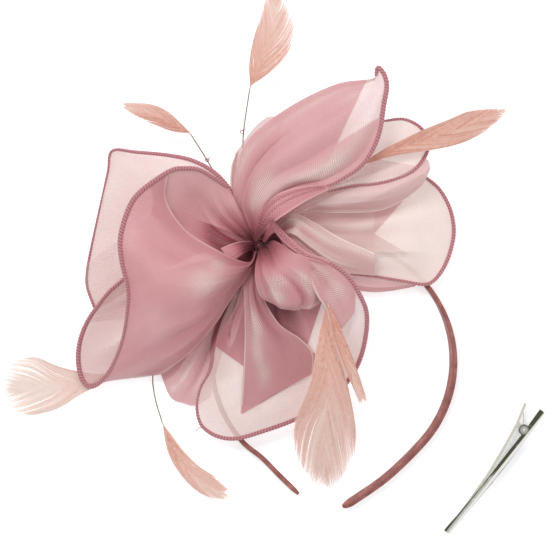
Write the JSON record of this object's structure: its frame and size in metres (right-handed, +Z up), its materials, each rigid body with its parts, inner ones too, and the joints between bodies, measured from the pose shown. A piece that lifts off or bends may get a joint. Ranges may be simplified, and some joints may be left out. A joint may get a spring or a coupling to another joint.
{
  "type": "fascinator headpiece",
  "caption": "Fascinator headpiece: corded-edge organza petals and feathers on a round base that slides along a satin-covered headband, with a loose hair clip.",
  "frame": {"origin": "on the surface that the headpiece lies on, under the middle of its bounding box", "axes": "+Z up from the surface, out of the flower's face; +X across the headband from its left tip to its right; +Y from the headband's tips towards the flower"},
  "size_m": [0.2626, 0.2642, 0.0516],
  "materials": {
    "organza": "sheer shimmering organza ribbon, dusty pink",
    "hem_thread": "close-stitched thread, deep dusty pink",
    "satin_ribbon": "satin ribbon, dusty pink",
    "steel_strip": "plain spring strip",
    "felt": "matt felt",
    "sinamay": "stiffened open weave",
    "feather": "dyed feather, peach pink, soft matt",
    "quill": "thin bare quill, olive brown",
    "nickel": "nickel-plated sheet metal"
  },
  "bodies": {
    "headband": {"band_ribbon": "satin_ribbon", "band_tip_left": "satin_ribbon", "band_tip_right": "satin_ribbon", "band_core": "steel_strip"},
    "flower": {"gather_knot": "organza", "centre_puff": "organza", "petal_top": "organza", "petal_bottom": "organza", "petal_left_scoop": "organza", "petal_right_fold": "organza", "petal_right_upper": "organza", "petal_left_inner": "organza", "petal_right": "organza", "petal_left_back": "organza", "petal_top_back": "organza", "petal_lower_left": "organza", "binding_thread": "hem_thread", "hem_top": "hem_thread", "hem_bottom": "hem_thread", "hem_left_scoop": "hem_thread", "hem_right_upper": "hem_thread", "hem_right": "hem_thread", "hem_left_back": "hem_thread", "keeper_loop_left": "satin_ribbon", "keeper_loop_right": "satin_ribbon", "backing_felt": "felt", "base_disc": "sinamay", "feather_top": "feather", "feather_upper_left": "feather", "feather_right": "feather", "feather_left": "feather", "feather_lower_left": "feather", "feather_front": "feather", "feather_front_small": "feather", "stem_top": "quill", "stem_upper_left": "quill", "stem_right": "quill", "stem_left": "quill", "stem_lower_left": "quill", "stem_front": "quill", "stem_front_small": "quill"},
    "clip": {"clip_body_leaf": "nickel", "clip_pivot_pin": "nickel", "clip_spring": "nickel"},
    "clip_lever": {"clip_lever_leaf": "nickel"}
  },
  "joints": [
    {"name": "flower_slide", "type": "hinge", "parent": "headband", "child": "flower", "pos_m": [0.02866, -0.04871, 0.0035], "axis": [0, 0, 1], "range_deg": [-10, 10]},
    {"name": "clip_lift", "type": "slide", "parent": "headband", "child": "clip", "axis": [0, 0, 1], "range_m": [0, 0.1]},
    {"name": "clip_hinge", "type": "hinge", "parent": "clip", "child": "clip_lever", "pos_m": [0.12106, -0.08171, 0.0032], "axis": [0, 0, -1], "range_deg": [0, 26], "stiffness_Nm_per_rad": 0.08, "springref_deg": -20.05, "deforming": ["clip_spring"]}
  ]
}
